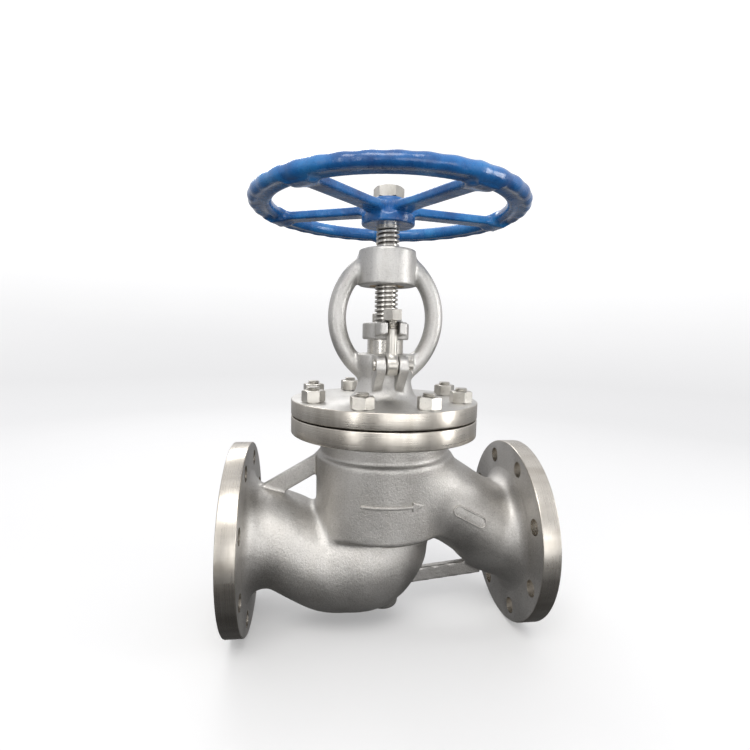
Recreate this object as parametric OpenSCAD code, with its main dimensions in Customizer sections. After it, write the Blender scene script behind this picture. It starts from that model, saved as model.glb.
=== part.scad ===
// Flanged globe valve with an outside-screw yoke, a rising handwheel and a swing-bolt gland.
// Frame: origin at the centre of the inlet flange face, +X along the flow, +Z up the stem.

/* [Body] */
// Face-to-face length of the valve
face_to_face = 350; // [340:1:370]
// Nominal bore of the two ends and of the seat
bore_d = 100; // [96:1:102]
// Outside diameter of the end flanges
end_flange_d = 215; // [210:1:225]
// Thickness of an end flange with its raised face
end_flange_t = 22; // [20:1:24]
// Diameter of the raised sealing face
raised_face_d = 156; // [150:1:160]
// Height of the raised sealing face
raised_face_h = 2; // [1.5:0.5:3]
// Pitch circle of the end flange bolts
end_bolt_pcd = 180; // [178:1:184]
// Diameter of the end flange bolt holes
end_bolt_hole_d = 18; // [16:1:19]
// Number of bolts in an end flange
end_bolt_count = 8; // [4:4:8]
// Outside diameter of the valve chamber below the bonnet
chamber_d = 155.6; // [152:0.2:158]
// Inside diameter of the valve chamber
chamber_bore_d = 136; // [132:1:138]
// Height where the chamber's outside steps down to the bowl
chamber_bottom_z = 14; // [10:1:20]

/* [Bonnet joint] */
// Diameter of the bonnet flange and of the body flange under it
bonnet_flange_d = 214; // [210:1:220]
// Top of the bonnet flange
bonnet_top_z = 161.5; // [160:0.5:163]
// Top of the body flange
body_top_z = 142.7; // [142:0.1:144]
// Underside of the body flange
body_flange_z = 123.4; // [120:0.2:126]
// Thickness of the bonnet gasket
gasket_t = 1.6; // [1:0.1:2]
// Pitch circle of the bonnet studs
stud_pcd = 176.8; // [174:0.2:180]
// Thread diameter of the bonnet studs
stud_d = 14; // [12:2:14]
// Number of bonnet studs
stud_count = 8; // [4:4:8]
// Width across flats of the bonnet nuts
stud_nut_af = 22; // [20:1:23]
// Height of a bonnet nut
stud_nut_h = 13; // [11:1:14]

/* [Yoke] */
// Top of the stuffing-box neck
neck_top_z = 213.5; // [210:0.5:215]
// Outer radius of the neck at its top
neck_r = 34; // [33:0.5:36]
// Underside of the boss that holds the stem nut
boss_bottom_z = 289.6; // [286:0.2:292]
// Top of the boss that holds the stem nut
boss_top_z = 329.2; // [326:0.2:330]
// Radius of the boss that holds the stem nut
boss_r = 32.3; // [31:0.1:34]
// Radius of the curve that each yoke arm follows
arm_bend_r = 75.5; // [74:0.5:78]
// Distance of that curve's centre beyond the stem axis
arm_centre_offset = 19.5; // [18:0.5:21]
// Height of that curve's centre
arm_centre_z = 254; // [252:1:256]
// Radius of a yoke arm
arm_r = 10.2; // [9:0.1:11]

/* [Gland] */
// Top of the gland flange
gland_top_z = 248.3; // [247:0.1:249]
// Underside of the gland flange's round middle
gland_bottom_z = 229.5; // [228:0.5:231]
// Radius of the gland flange's round middle
gland_ring_r = 26.6; // [26:0.1:28]
// Outer radius of the gland bush
gland_bush_r = 20.6; // [20.5:0.1:20.7]
// Inner radius of the stuffing box
stuffing_box_r = 21; // [20.9:0.1:21.5]
// Floor of the stuffing box
stuffing_floor_z = 160; // [158:1:162]
// Distance of each eyebolt from the stem axis
eyebolt_y = 48; // [47:0.5:49]
// Height of the eyebolt pins
eyebolt_pin_z = 203; // [202:0.5:204]
// Shank diameter of the eyebolts
eyebolt_d = 12; // [10:1:12]
// Width across flats of the gland nuts
gland_nut_af = 19; // [18:0.5:19]
// Height of a gland nut
gland_nut_h = 11.5; // [10:0.5:12]

/* [Stem and disc] */
// Outside diameter of the stem's thread
thread_d = 26.4; // [26:0.1:26.6]
// Pitch of the stem's thread
thread_pitch = 5; // [4:0.5:6]
// Depth of the stem's thread
thread_depth = 2.5; // [2:0.1:3]
// Diameter of the plain stem
stem_d = 26; // [25.8:0.1:26]
// Top face of the seat ring
seat_top_z = 16; // [15:0.5:17]
// Outside diameter of the disc
disc_d = 112; // [110:1:114]

/* [Handwheel] */
// Outside diameter of the handwheel
wheel_d = 305.6; // [300:0.2:310]
// Height of the middle of the rim
wheel_rim_z = 375; // [373:0.5:377]
// Underside of the handwheel's hub
hub_bottom_z = 356; // [356:0.5:358]
// Top of the handwheel's hub
hub_top_z = 384.5; // [384:0.5:386]
// Number of spokes
spoke_count = 5; // [3:1:6]
// Angle of the first spoke
spoke_phase = 83; // [0:1:90]

/* [Hidden] */

$fn = 96;
eps = 0.01;
axis_x = face_to_face / 2;
end_flange_r = end_flange_d / 2;
bore_r = bore_d / 2;
chamber_r = chamber_d / 2;
chamber_bore_r = chamber_bore_d / 2;
bonnet_flange_r = bonnet_flange_d / 2;
bonnet_bottom_z = body_top_z + gasket_t;
stud_r = stud_d / 2;
stud_phase = 180 / stud_count;
gasket_in_r = 69;
gasket_out_r = 80;
nut_turns = [33, 22, 47, 10, 38, 31, 37, 55];
gland_nut_turn = 20;
wheel_nut_turn = 46;

// Ducts: a duct's section is a slot, half_h high across the duct and side_shift wider each way.
inlet_slope = 27;
inlet_bend = [40, 2];
inlet_duct_len = 105;
inlet_half_h = 52;
inlet_bore_half_h = 38;
inlet_bore_drop = 4;
outlet_slope = 33;
outlet_bend = [312, 2];
outlet_duct_len = 118;
outlet_half_h = 45.5;
outlet_bore_half_h = 37;
duct_side_shift = 10;
duct_bore_shift = 9;
bowl_centre = [152, -24];
bowl_r = 67;
bowl_toe = [168, -17];
bowl_toe_r = 61;
bowl_bore_r = 59;
bridge_under_z = -4;
bridge_top_z = 11;
seat_ring_r = 60;
seat_ring_z = 6;
bowl_heel = [114, -32];
bowl_heel_r = 56.5;
neck_root_r = 57.5;
neck_root_len = 32;
strut_t = 9;
drain_boss = [178, -91.5];
drain_boss_r = 19;

// Stem, disc and wheel
thread_r = thread_d / 2;
thread_bottom_z = 244;
thread_top_z = 353;
stem_r = stem_d / 2;
stem_top_z = 397;
stem_button_r = 17;
stem_button_z = 27;
stem_button_t = 6;
back_seat_z = 96;
disc_r = disc_d / 2;
disc_hub_r = 30;
disc_hub_top_z = 50;
disc_socket_r = 22;
running_gap = 0.08;
body_gap = 0.4;
hub_square = 20;
wheel_nut_af = 30;
wheel_nut_h = 12.5;
wheel_thread_r = 9.9;
rim_half_h = 7.5;
rim_width = 25.3;
spoke_w = 21;
spoke_z = 368;
spoke_t = 9;

// Gland, forks and eyebolts
ear_w = 29;
ear_reach = 58.5;
ear_bottom_z = 235.5;
pad_r = 10.8;
pad_h = 1.2;
nut_gap = 0.4;
ear_slope = 15;
slot_w = 12.8;
gland_nut_z = gland_top_z + pad_h + nut_gap;
bush_top_z = 237;
bush_bottom_z = 200.4;
packing_bottom_z = 166;
packing_count = 4;
packing_ring_h = (bush_bottom_z - packing_bottom_z) / packing_count;
fork_gap = 14;
fork_t = 10.3;
eye_r = 11;
eye_w = 12.4;
eyebolt_pin_r = 4.5;
pin_head_r = 6.2;
pin_head_t = 3;
split_pin_r = 1.1;
yoke_bush_r = 20;

module at_axis() {
    translate([axis_x, 0, 0]) children();
}

// One slot-shaped bar of length len, starting at [x, z] and tilted down by slope towards -X or +X.
module duct(start, slope, len, half_h, shift) {
    translate([start[0], 0, start[1]])
        rotate([0, 90 + slope, 0])
            linear_extrude(len) {
                translate([0, shift]) circle(half_h);
                translate([0, -shift]) circle(half_h);
                square([2 * half_h - 0.02, 2 * shift], center = true);
            }
}

module ring_of(count, pcd, phase) {
    for (i = [0 : count - 1])
        rotate([0, 0, phase + i * 360 / count]) translate([pcd / 2, 0, 0]) children();
}

module tube(z0, z1, r_out, r_in) {
    translate([0, 0, z0]) difference() {
        cylinder(r = r_out, h = z1 - z0);
        translate([0, 0, -1]) cylinder(r = r_in, h = z1 - z0 + 2);
    }
}

module hex_prism(across_flats, h) {
    cylinder(r = across_flats / sqrt(3), h = h, $fn = 6);
}

// A flat rib in the middle plane, given by its outline in X and Z.
module rib(outline) {
    translate([0, strut_t / 2, 0]) rotate([90, 0, 0]) linear_extrude(strut_t) polygon(outline);
}

// An end flange that grows along +X from its raised face at the origin, with a tapered root.
module end_flange(root_r, root_len) {
    rotate([0, 90, 0]) rotate_extrude() polygon([
        [0, 0],
        [raised_face_d / 2, 0],
        [raised_face_d / 2, raised_face_h],
        [end_flange_r, raised_face_h],
        [end_flange_r, end_flange_t],
        [root_r + 14, end_flange_t],
        [root_r + 4, end_flange_t + 6],
        [root_r, end_flange_t + root_len],
        [0, end_flange_t + root_len]
    ]);
}

module end_flange_holes() {
    rotate([0, 90, 0])
        ring_of(end_bolt_count, end_bolt_pcd, 180 / end_bolt_count)
            translate([0, 0, -1]) cylinder(d = end_bolt_hole_d, h = end_flange_t + 2);
}

module chamber_outside() {
    at_axis() rotate_extrude() polygon([
        [0, chamber_bottom_z - 8],
        [chamber_r - 6, chamber_bottom_z - 8],
        [chamber_r, chamber_bottom_z],
        [chamber_r, 92],
        [chamber_r - 5, 101],
        [chamber_r - 5.5, 105],
        [chamber_r - 4, 110],
        [chamber_r - 4, body_flange_z],
        [bonnet_flange_r - 1, body_flange_z],
        [bonnet_flange_r, body_flange_z + 1],
        [bonnet_flange_r, body_top_z - 1],
        [bonnet_flange_r - 1, body_top_z],
        [0, body_top_z]
    ]);
}

module body_outside() {
    end_flange(neck_root_r, neck_root_len);
    translate([face_to_face, 0, 0]) mirror([1, 0, 0]) end_flange(neck_root_r, neck_root_len);
    duct([inlet_bend[0] - 12, inlet_bend[1] + 6], inlet_slope, inlet_duct_len, inlet_half_h, duct_side_shift);
    translate([bowl_centre[0], 0, bowl_centre[1]]) sphere(bowl_r);
    translate([bowl_toe[0], 0, bowl_toe[1]]) sphere(bowl_toe_r);
    translate([bowl_heel[0], 0, bowl_heel[1]]) sphere(bowl_heel_r);
    chamber_outside();
    translate([outlet_bend[0] + 8, 0, outlet_bend[1] - 4])
        rotate([0, 0, 180])
            duct([0, 0], -outlet_slope, outlet_duct_len, outlet_half_h, duct_side_shift + 1);
    translate([drain_boss[0], 0, drain_boss[1]]) cylinder(r = drain_boss_r, h = 60);
    rib([[36, 54], [100, 95], [100, 70], [92, 69.5], [60, 49.5], [50, 46]]);
    rib([[205, -63], [212, -48], [274, -41.5], [290, -36], [306, -56.5], [251, -62.4]]);
}

module body_inside() {
    translate([-1, 0, 0]) rotate([0, 90, 0]) cylinder(r = bore_r, h = 43);
    duct([inlet_bend[0] - 4, inlet_bend[1] - inlet_bore_drop], inlet_slope, 92, inlet_bore_half_h, duct_bore_shift);
    intersection() {
        translate([bowl_centre[0], 0, bowl_centre[1]]) sphere(bowl_bore_r);
        translate([0, -100, bridge_under_z - 200]) cube([300, 200, 200]);
    }
    at_axis() rotate_extrude() polygon([
        [0, bridge_top_z],
        [seat_ring_r + 1, bridge_top_z],
        [chamber_bore_r, 40],
        [chamber_bore_r, body_top_z + 1],
        [0, body_top_z + 1]
    ]);
    at_axis() translate([0, 0, bridge_under_z - 30]) cylinder(r = bore_r + 1, h = 60);
    at_axis() translate([0, 0, seat_ring_z]) cylinder(r = seat_ring_r, h = 20);
    translate([outlet_bend[0] + 4, 0, outlet_bend[1] - 2])
        rotate([0, 0, 180])
            duct([0, 0], -outlet_slope, outlet_duct_len - 10, outlet_bore_half_h, duct_bore_shift);
    translate([face_to_face - 41, 0, 0]) rotate([0, 90, 0]) cylinder(r = bore_r, h = 42);
}

module body() {
    color("darkgray") difference() {
        body_outside();
        body_inside();
        end_flange_holes();
        translate([face_to_face - end_flange_t, 0, 0]) end_flange_holes();
        at_axis() ring_of(stud_count, stud_pcd, stud_phase)
            translate([0, 0, body_flange_z + 3]) cylinder(r = stud_r, h = 30);
    }
}

module seat_ring() {
    color("silver") at_axis() rotate_extrude() polygon([
        [bore_r, seat_ring_z],
        [seat_ring_r, seat_ring_z],
        [seat_ring_r, seat_top_z - 1],
        [seat_ring_r - 1, seat_top_z],
        [bore_r + 2, seat_top_z],
        [bore_r, seat_top_z - 2]
    ]);
}

module bonnet_gasket() {
    color("dimgray") at_axis() tube(body_top_z, bonnet_bottom_z, gasket_out_r, gasket_in_r);
}

module bonnet_outside() {
    rotate_extrude() polygon([
        [0, 130],
        [chamber_bore_r - 0.6, 130],
        [chamber_bore_r - 0.6, bonnet_bottom_z],
        [bonnet_flange_r - 1, bonnet_bottom_z],
        [bonnet_flange_r, bonnet_bottom_z + 1],
        [bonnet_flange_r, bonnet_top_z - 1],
        [bonnet_flange_r - 1, bonnet_top_z],
        [41, bonnet_top_z],
        [37, bonnet_top_z + 3],
        [33, 172],
        [30.5, 183],
        [30.5, 190],
        [neck_r, 202],
        [neck_r, neck_top_z],
        [0, neck_top_z]
    ]);
    translate([0, 0, boss_bottom_z]) rotate_extrude() polygon([
        [0, 0],
        [boss_r - 1, 0],
        [boss_r, 1],
        [boss_r, boss_top_z - boss_bottom_z - 3],
        [boss_r - 3, boss_top_z - boss_bottom_z],
        [0, boss_top_z - boss_bottom_z]
    ]);
}

// One arm bends out to -X, from the neck up to the boss.
module yoke_arm() {
    sweep = 114;
    translate([arm_centre_offset, 0, arm_centre_z])
        rotate([90, 0, 0]) rotate([0, 0, 180 - sweep / 2])
            rotate_extrude(angle = sweep) translate([arm_bend_r, 0]) circle(arm_r);
}

// Two cheeks on the -Y side of the neck that carry an eyebolt's pin.
module fork() {
    for (side = [-1, 1])
        translate([side * (fork_gap + fork_t) / 2 - fork_t / 2, 0, 0])
            rotate([90, 0, 90]) linear_extrude(fork_t) polygon([
                [-26, neck_top_z - 0.2],
                [-52, neck_top_z - 0.2],
                [-57, 211],
                [-59, 206],
                [-59, 197],
                [-37, 178.5],
                [-26, 176]
            ]);
}

module fork_pin_hole() {
    translate([-30, -eyebolt_y, eyebolt_pin_z]) rotate([0, 90, 0]) cylinder(r = eyebolt_pin_r, h = 60);
}

module both_sides() {
    children();
    rotate([0, 0, 180]) children();
}

module bonnet_bores() {
    rotate_extrude() polygon([
        [0, 129],
        [46, 129],
        [40, 137],
        [20, 137],
        [20, 152],
        [14.5, 152],
        [14.5, stuffing_floor_z],
        [stuffing_box_r, stuffing_floor_z],
        [stuffing_box_r, neck_top_z + 1],
        [0, neck_top_z + 1]
    ]);
    translate([0, 0, neck_top_z]) cylinder(r = thread_r + 1, h = 60);
    translate([0, 0, boss_bottom_z - 1]) cylinder(r = yoke_bush_r, h = 60);
}

module bonnet() {
    color("darkgray") at_axis() difference() {
        union() {
            bonnet_outside();
            both_sides() yoke_arm();
            both_sides() fork();
        }
        bonnet_bores();
        both_sides() fork_pin_hole();
        ring_of(stud_count, stud_pcd, stud_phase)
            translate([0, 0, bonnet_bottom_z - 1]) cylinder(r = stud_r + 1, h = 30);
        set_screw_space();
    }
}

module bonnet_studs() {
    color("silver") at_axis() ring_of(stud_count, stud_pcd, stud_phase)
        translate([0, 0, body_flange_z + 3]) {
            cylinder(r = stud_r, h = 50);
            translate([0, 0, 50 - eps]) cylinder(r1 = stud_r, r2 = stud_r - 2, h = 1.6);
        }
}

// Each nut stops at its own angle when it is tight.
module bonnet_nuts() {
    color("silver") at_axis() for (i = [0 : stud_count - 1])
        rotate([0, 0, stud_phase + i * 360 / stud_count])
            translate([stud_pcd / 2, 0, bonnet_top_z]) difference() {
                rotate([0, 0, nut_turns[i]]) hex_prism(stud_nut_af, stud_nut_h);
                translate([0, 0, -1]) cylinder(r = stud_r, h = stud_nut_h + 2);
            }
}

module back_seat_bush() {
    color("silver") at_axis() rotate_extrude() polygon([
        [18, 133.5],
        [24, 133.5],
        [24, 137],
        [20, 137],
        [20, 152],
        [14, 152],
        [14, 137.5]
    ]);
}

module packing_base_ring() {
    color("silver") at_axis()
        tube(stuffing_floor_z, packing_bottom_z, stuffing_box_r - 0.1, stem_r + 0.6);
}

module packing_rings() {
    color("dimgray") at_axis() for (i = [0 : packing_count - 1])
        tube(
            packing_bottom_z + i * packing_ring_h,
            packing_bottom_z + (i + 1) * packing_ring_h - 0.1,
            stuffing_box_r - 0.05,
            stem_r + running_gap
        );
}

module gland_bush() {
    color("silver") at_axis() tube(bush_bottom_z, bush_top_z, gland_bush_r, stem_r + 0.6);
}

// What the front ear loses so that the nut can swing away over its outer edge.
module ear_relief() {
    translate([-20, -eyebolt_y, gland_top_z + pad_h])
        rotate([ear_slope, 0, 0]) translate([0, -30, 0]) cube([40, 30, 20]);
}

module gland_ear() {
    difference() {
        union() {
            translate([-ear_w / 2, -ear_reach, ear_bottom_z])
                cube([ear_w, ear_reach, gland_top_z - ear_bottom_z]);
            translate([0, -eyebolt_y, ear_bottom_z])
                cylinder(r = pad_r, h = gland_top_z + pad_h - ear_bottom_z);
        }
        translate([0, -eyebolt_y, 0]) cylinder(d = slot_w, h = 300);
        translate([-slot_w / 2, -eyebolt_y - 30, 0]) cube([slot_w, 30, 300]);
        ear_relief();
    }
}

module gland_flange() {
    color("darkgray") at_axis() difference() {
        union() {
            translate([0, 0, gland_bottom_z]) cylinder(r = gland_ring_r, h = gland_top_z - gland_bottom_z);
            both_sides() gland_ear();
        }
        cylinder(r = gland_bush_r + 0.1, h = bush_top_z);
        cylinder(r = thread_r + body_gap, h = 300);
    }
}

module eyebolt() {
    difference() {
        union() {
            translate([-eye_w / 2, -eyebolt_y, eyebolt_pin_z]) rotate([0, 90, 0]) cylinder(r = eye_r, h = eye_w);
            translate([0, -eyebolt_y, eyebolt_pin_z])
                cylinder(d = eyebolt_d, h = gland_nut_z + gland_nut_h - eyebolt_pin_z);
        }
        translate([-10, -eyebolt_y, eyebolt_pin_z])
            rotate([0, 90, 0]) cylinder(r = eyebolt_pin_r + running_gap, h = 20);
    }
}

module eyebolt_pin() {
    half = fork_gap / 2 + fork_t;
    difference() {
        translate([0, -eyebolt_y, eyebolt_pin_z]) rotate([0, 90, 0]) {
            translate([0, 0, -half]) cylinder(r = eyebolt_pin_r, h = 2 * half + 6);
            translate([0, 0, -half - pin_head_t]) cylinder(r = pin_head_r, h = pin_head_t);
        }
        translate([half + 3, -eyebolt_y, eyebolt_pin_z - 10]) cylinder(r = split_pin_r, h = 20);
    }
}

module split_pin() {
    translate([fork_gap / 2 + fork_t + 3, -eyebolt_y, eyebolt_pin_z]) {
        translate([0, 0, -9.5]) cylinder(r = split_pin_r, h = 16.5);
        translate([0, 0, 7.5]) rotate([90, 0, 0]) rotate_extrude() translate([1.9, 0]) circle(0.8);
    }
}

module gland_nut() {
    translate([0, -eyebolt_y, gland_nut_z]) difference() {
        rotate([0, 0, gland_nut_turn]) hex_prism(gland_nut_af, gland_nut_h);
        translate([0, 0, -1]) cylinder(r = eyebolt_d / 2 + running_gap, h = gland_nut_h + 2);
    }
}

module eyebolt_front() {
    color("silver") at_axis() eyebolt();
}

module eyebolt_rear() {
    color("silver") at_axis() rotate([0, 0, 180]) eyebolt();
}

module eyebolt_pin_front() {
    color("silver") at_axis() eyebolt_pin();
}

module eyebolt_pin_rear() {
    color("silver") at_axis() rotate([0, 0, 180]) eyebolt_pin();
}

module split_pin_front() {
    color("gray") at_axis() split_pin();
}

module split_pin_rear() {
    color("gray") at_axis() rotate([0, 0, 180]) split_pin();
}

module gland_nut_front() {
    color("silver") at_axis() gland_nut();
}

module gland_nut_rear() {
    color("silver") at_axis() rotate([0, 0, 180]) gland_nut();
}

module set_screw_space() {
    translate([0, 17, (boss_bottom_z + boss_top_z) / 2]) rotate([-90, 0, 0]) cylinder(r = 4, h = 30);
}

module stem_nut() {
    color("goldenrod") at_axis() difference() {
        tube(boss_bottom_z + 1, boss_top_z, yoke_bush_r, thread_r + running_gap);
        set_screw_space();
    }
}

module stem_nut_set_screw() {
    color("gray") at_axis() difference() {
        translate([0, 17, (boss_bottom_z + boss_top_z) / 2]) rotate([-90, 0, 0]) cylinder(r = 4, h = 14.5);
        translate([0, 27, (boss_bottom_z + boss_top_z) / 2]) rotate([-90, 0, 0]) cylinder(r = 2.3, h = 10, $fn = 6);
    }
}

// The thread is a stack of square grooves at the thread's pitch.
function thread_outline() = [
    for (z = [thread_bottom_z : thread_pitch : thread_top_z - thread_pitch])
        for (p = [
            [thread_r, z],
            [thread_r, z + 0.42 * thread_pitch],
            [thread_r - thread_depth, z + 0.56 * thread_pitch],
            [thread_r - thread_depth, z + 0.86 * thread_pitch]
        ]) p
];

module stem() {
    color("silver") at_axis() {
        rotate_extrude() polygon(concat(
            [
                [0, stem_button_z],
                [stem_button_r, stem_button_z],
                [stem_button_r, stem_button_z + stem_button_t],
                [stem_r, stem_button_z + stem_button_t],
                [stem_r, back_seat_z],
                [stem_r + 5, back_seat_z],
                [stem_r + 5, back_seat_z + 6],
                [stem_r, back_seat_z + 11],
                [stem_r, thread_bottom_z]
            ],
            thread_outline(),
            [
                [thread_r, thread_top_z],
                [thread_r, hub_bottom_z],
                [0, hub_bottom_z]
            ]
        ));
        translate([0, 0, hub_bottom_z - eps]) intersection() {
            translate([-hub_square / 2, -hub_square / 2, 0]) cube([hub_square, hub_square, hub_top_z - hub_bottom_z]);
            cylinder(r = thread_r - 0.2, h = hub_top_z - hub_bottom_z);
        }
        translate([0, 0, hub_top_z - eps]) cylinder(r = wheel_thread_r - eps, h = stem_top_z - hub_top_z + eps);
    }
}

module disc() {
    seat_line = seat_top_z - 2 - bore_r + 0.5;
    color("silver") at_axis() rotate_extrude() polygon([
        [0, 8],
        [bore_r - 3, 8],
        [bore_r - 1.5, 9.5],
        [bore_r - 1.5, seat_line + bore_r - 1.5],
        [disc_r - 1, seat_line + disc_r - 1],
        [disc_r, seat_line + disc_r],
        [disc_r, 34],
        [disc_r - 2, 36],
        [disc_hub_r + 3, 39],
        [disc_hub_r, 42],
        [disc_hub_r, disc_hub_top_z],
        [disc_socket_r, disc_hub_top_z],
        [disc_socket_r, stem_button_z + stem_button_t],
        [stem_button_r + 0.6, stem_button_z + stem_button_t],
        [stem_button_r + 0.6, stem_button_z - body_gap],
        [0, stem_button_z - body_gap]
    ]);
}

module disc_nut() {
    nut_z = stem_button_z + stem_button_t + body_gap;
    color("silver") at_axis() difference() {
        union() {
            translate([0, 0, nut_z]) cylinder(r = disc_socket_r, h = disc_hub_top_z - nut_z);
            translate([0, 0, disc_hub_top_z]) hex_prism(42, 6);
        }
        cylinder(r = stem_r + 0.6, h = 100);
    }
}

module wheel_rim() {
    rim_out = wheel_d / 2 - rim_half_h;
    rim_in = wheel_d / 2 - rim_width + rim_half_h;
    translate([0, 0, wheel_rim_z]) rotate_extrude() {
        translate([rim_out, 0]) circle(rim_half_h);
        translate([rim_in, 0]) circle(rim_half_h);
        translate([rim_in, -rim_half_h + 0.01]) square([rim_out - rim_in, 2 * rim_half_h - 0.02]);
    }
}

module handwheel() {
    spoke_end = wheel_d / 2 - rim_width / 2;
    color("royalblue") at_axis() difference() {
        union() {
            wheel_rim();
            for (i = [0 : spoke_count - 1])
                rotate([0, 0, spoke_phase + i * 360 / spoke_count])
                    translate([0, 0, spoke_z]) linear_extrude(spoke_t) polygon([
                        [10, -spoke_w / 2 - 1],
                        [spoke_end - 20, -spoke_w / 2 + 1],
                        [spoke_end, -spoke_w / 2 - 5],
                        [spoke_end, spoke_w / 2 + 5],
                        [spoke_end - 20, spoke_w / 2 - 1],
                        [10, spoke_w / 2 + 1]
                    ]);
            rotate_extrude() polygon([
                [0, hub_bottom_z],
                [28, hub_bottom_z],
                [30, hub_bottom_z + 2],
                [30, hub_bottom_z + 9],
                [21, hub_bottom_z + 15],
                [19, hub_top_z - 1.5],
                [17.5, hub_top_z],
                [0, hub_top_z]
            ]);
        }
        translate([-hub_square / 2, -hub_square / 2, 300]) cube([hub_square, hub_square, 200]);
    }
}

module handwheel_nut() {
    color("silver") at_axis() translate([0, 0, hub_top_z]) difference() {
        rotate([0, 0, wheel_nut_turn]) hex_prism(wheel_nut_af, wheel_nut_h);
        translate([0, 0, -1]) cylinder(r = wheel_thread_r, h = wheel_nut_h + 2);
    }
}

body();
seat_ring();
bonnet_gasket();
bonnet();
bonnet_studs();
bonnet_nuts();
back_seat_bush();
packing_base_ring();
packing_rings();
gland_bush();
gland_flange();
eyebolt_front();
eyebolt_rear();
eyebolt_pin_front();
eyebolt_pin_rear();
split_pin_front();
split_pin_rear();
gland_nut_front();
gland_nut_rear();
stem_nut();
stem_nut_set_screw();
stem();
disc();
disc_nut();
handwheel();
handwheel_nut();
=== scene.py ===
"""Looks of a flanged globe valve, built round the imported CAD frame."""

import math

import bmesh
import bpy
import numpy as np
from mathutils import Matrix, Vector


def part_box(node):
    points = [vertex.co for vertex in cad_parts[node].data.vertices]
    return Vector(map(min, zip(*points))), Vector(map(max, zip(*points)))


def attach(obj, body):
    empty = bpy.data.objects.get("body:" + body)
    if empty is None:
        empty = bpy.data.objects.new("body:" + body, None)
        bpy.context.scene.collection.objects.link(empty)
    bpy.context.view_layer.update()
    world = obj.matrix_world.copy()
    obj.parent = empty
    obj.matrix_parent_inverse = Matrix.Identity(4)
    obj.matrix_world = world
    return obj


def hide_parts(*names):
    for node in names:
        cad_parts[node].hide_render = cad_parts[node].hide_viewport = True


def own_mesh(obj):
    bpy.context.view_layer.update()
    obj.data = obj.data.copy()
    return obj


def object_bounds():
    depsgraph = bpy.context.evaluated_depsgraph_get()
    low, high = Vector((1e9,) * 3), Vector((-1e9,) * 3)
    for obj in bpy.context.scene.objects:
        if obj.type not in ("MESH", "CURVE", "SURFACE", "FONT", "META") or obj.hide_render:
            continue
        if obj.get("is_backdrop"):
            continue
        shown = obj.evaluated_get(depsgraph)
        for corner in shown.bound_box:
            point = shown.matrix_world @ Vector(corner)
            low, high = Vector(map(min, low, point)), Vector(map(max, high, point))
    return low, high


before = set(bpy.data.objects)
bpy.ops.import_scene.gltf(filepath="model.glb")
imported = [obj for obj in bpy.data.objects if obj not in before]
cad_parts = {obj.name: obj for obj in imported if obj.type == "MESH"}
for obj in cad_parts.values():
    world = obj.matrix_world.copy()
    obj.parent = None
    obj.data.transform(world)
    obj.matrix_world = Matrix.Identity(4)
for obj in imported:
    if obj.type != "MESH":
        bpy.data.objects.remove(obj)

cad_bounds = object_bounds()
MM = 0.001


# --- driving sizes, in mm

def span(node):
    """Lowest and highest corner of a CAD node, in mm."""
    low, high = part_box(node)
    return np.array(low) / MM, np.array(high) / MM


BODY_LOW, BODY_HIGH = span("body")
NUTS_LOW, NUTS_HIGH = span("bonnet_nuts")
STUDS_LOW, STUDS_HIGH = span("bonnet_studs")
WHEEL_LOW, WHEEL_HIGH = span("handwheel")
WHEEL_NUT_LOW, WHEEL_NUT_HIGH = span("handwheel_nut")
GLAND_NUT_LOW, GLAND_NUT_HIGH = span("gland_nut_front")

FACE_TO_FACE = BODY_HIGH[0] - BODY_LOW[0]
AXIS_X = FACE_TO_FACE / 2
STEM_AXIS = (AXIS_X, 0, 0)
END_FLANGE_R = -BODY_LOW[2]
END_FLANGE_T = 22.0
RAISED_FACE_R = 78.0
RAISED_FACE_H = 2.0
BOLT_CIRCLE_R = 90.0
BOLT_HOLE_R = 9.0
BORE_R = 50.0
BORE_DEPTH = 31.0
SEAT_THROAT_R = 51.0
SEAT_RECESS_R = 60.05
SEAT_RECESS_BOTTOM = 6.0

CHAMBER_R = 77.8
CHAMBER_BORE_R = 68.0
CHAMBER_BOTTOM = 14.0
CHAMBER_SHOULDER = 100.0
CHAMBER_NECK_R = 73.4
BODY_FLANGE_BOTTOM = 123.4
BODY_TOP = BODY_HIGH[2]
BONNET_FLANGE_R = 107.0
BONNET_BOTTOM = BODY_TOP + 1.6
BONNET_TOP = NUTS_LOW[2]
STUD_CIRCLE_R = 88.4
STUD_R = 7.0
STUD_COUNT = 8
STUD_PHASE = 180 / STUD_COUNT
STUD_NUT_AF = 22

NECK_TOP = 213.5
BOSS_R = 32.3
BOSS_BOTTOM = 289.6
BOSS_TOP = span("bonnet")[1][2]
BOSS_BORE_R = 20.0
STUFFING_BOX_R = 21.0
ARM_CENTRE_Z = 254.0
ARM_CENTRE_OFFSET = 19.5
ARM_BEND_R = 75.5
ARM_R = 10.2
PIN_Y = 48.0
PIN_Z = 203.0
PIN_R = 4.5
FORK_GAP = 14.0
FORK_T = 10.3
FORK_HALF = FORK_GAP / 2 + FORK_T
PIN_HEAD_R = 6.2
PIN_HEAD_T = 3.0
SPLIT_PIN_OUT = 3.0

WHEEL_R = (WHEEL_HIGH[0] - WHEEL_LOW[0]) / 2
RIM_Z = 375.0
RIM_HALF_H = 7.5
RIM_WIDTH = 25.3
HUB_BOTTOM = WHEEL_LOW[2]
HUB_TOP = WHEEL_NUT_LOW[2]
SPOKE_COUNT = 5
SPOKE_PHASE = math.radians(83)
SPOKE_W = 21.0
SPOKE_BOTTOM = 368.0
SPOKE_T = 9.0
SCALLOPS = 38

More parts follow.
